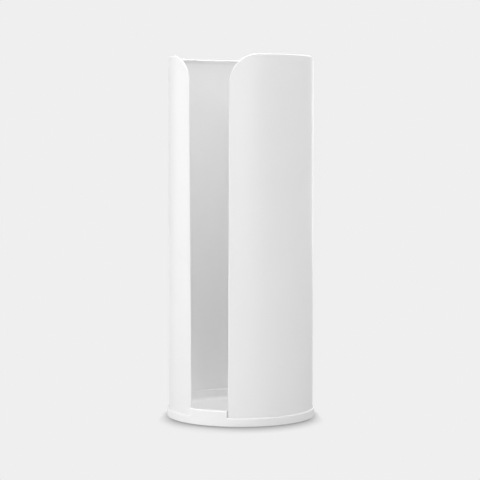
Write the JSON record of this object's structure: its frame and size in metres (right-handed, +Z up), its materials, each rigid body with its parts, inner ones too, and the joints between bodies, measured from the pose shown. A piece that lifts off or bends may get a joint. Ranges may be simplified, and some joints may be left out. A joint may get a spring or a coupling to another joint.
{
  "type": "toilet roll holder",
  "caption": "Free-standing open-topped round holder for a stack of spare toilet rolls, a hemmed sheet steel tube with a full-height front slot in a moulded base with soft pads.",
  "frame": {"origin": "on the surface that the holder stands on, under the axis of the tube", "axes": "+Z up along the axis of the tube, the slot faces -Y, +X to the right for someone who faces the slot"},
  "size_m": [0.1414, 0.1414, 0.343],
  "materials": {
    "coated_steel": "white powder coat, satin, on steel sheet",
    "moulded_base": "white, fine satin texture, injection moulded",
    "pad_rubber": "matt grey, soft"
  },
  "bodies": {
    "root": {"shell": "coated_steel", "base": "moulded_base", "foot_pad_1": "pad_rubber", "foot_pad_2": "pad_rubber", "foot_pad_3": "pad_rubber", "foot_pad_4": "pad_rubber"}
  },
  "joints": []
}
